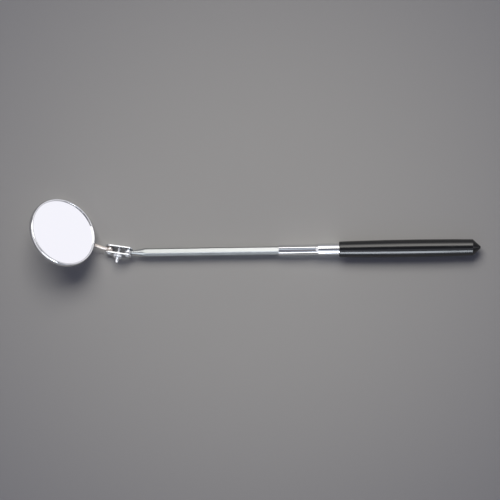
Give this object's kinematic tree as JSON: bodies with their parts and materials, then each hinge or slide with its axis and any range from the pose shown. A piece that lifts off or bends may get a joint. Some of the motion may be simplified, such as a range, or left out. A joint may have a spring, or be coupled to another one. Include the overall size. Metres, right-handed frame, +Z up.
{
  "type": "telescoping inspection mirror",
  "caption": "Round mirror on a double ball joint at the end of a hexagonal rod, which slides in a chromed tube with a black vinyl grip.",
  "frame": {"origin": "middle of the footprint, on the surface the tool lies on", "axes": "+X along the handle from the mirror towards the grip's tip, +Z up from the bench, the mirror faces up and towards +X and +Y"},
  "size_m": [0.3561, 0.0542, 0.0367],
  "materials": {
    "vinyl": "black dipped vinyl, glossy",
    "chrome": "bright chrome plate",
    "zinc": "zinc-plated steel",
    "nickel": "satin nickel plate, drawn lengthways",
    "brass": "turned brass",
    "spring_steel": "hard-drawn spring wire",
    "clamp_steel": "nickel-plated pressed steel",
    "stem_zinc": "zinc plate with a warm tint",
    "bezel_plate": "bright zinc-plated pressed steel",
    "silvered_glass": "flat glass, silvered on its back",
    "board": "grey board"
  },
  "bodies": {
    "handle": {"grip_sleeve": "vinyl", "handle_tube": "chrome", "tube_end_plug": "zinc"},
    "rod": {"slide_rod": "nickel", "rod_stop_collar": "brass", "friction_ring": "spring_steel", "rod_end_screw": "zinc"},
    "rod_ball_joint": {"rod_ball": "nickel"},
    "clamp": {"clamp_plate_nut_side": "clamp_steel", "clamp_plate_head_side": "clamp_steel", "clamp_screw": "clamp_steel"},
    "nut": {"clamp_nut": "clamp_steel"},
    "mirror_ball_joint": {"mirror_ball": "stem_zinc"},
    "stem": {"mirror_stem": "stem_zinc"},
    "mirror": {"mirror_bezel": "bezel_plate", "mirror_glass": "silvered_glass", "backing_pad": "board"}
  },
  "joints": [
    {"name": "rod_slide", "type": "slide", "parent": "handle", "child": "rod", "axis": [-1, 0, 0], "range_m": [-0.102, 0]},
    {"name": "rod_ball_twist", "type": "hinge", "parent": "rod", "child": "rod_ball_joint", "pos_m": [-0.1008, -0.0165, 0.00695], "axis": [1, 0, 0], "continuous": true},
    {"name": "clamp_swing", "type": "hinge", "parent": "rod_ball_joint", "child": "clamp", "pos_m": [-0.1008, -0.0165, 0.00695], "axis": [-0.2017, -0.9, 0.3863], "range_deg": [-114, 106]},
    {"name": "nut_turn", "type": "hinge", "parent": "clamp", "child": "nut", "pos_m": [-0.10798, -0.01536, 0.00585], "axis": [-0.2017, -0.9, 0.3863], "range_deg": [-360, 30]},
    {"name": "mirror_ball_swing", "type": "hinge", "parent": "clamp", "child": "mirror_ball_joint", "pos_m": [-0.11516, -0.01423, 0.00475], "axis": [0.2017, 0.9, -0.3863], "range_deg": [-137, 83]},
    {"name": "stem_tilt", "type": "hinge", "parent": "mirror_ball_joint", "child": "stem", "pos_m": [-0.11516, -0.01423, 0.00475], "axis": [-0.3696, -0.2953, -0.881], "range_deg": [-8, 8]},
    {"name": "mirror_twist", "type": "hinge", "parent": "stem", "child": "mirror", "pos_m": [-0.11516, -0.01423, 0.00475], "axis": [-0.9083, 0.3145, 0.2756], "continuous": true}
  ]
}
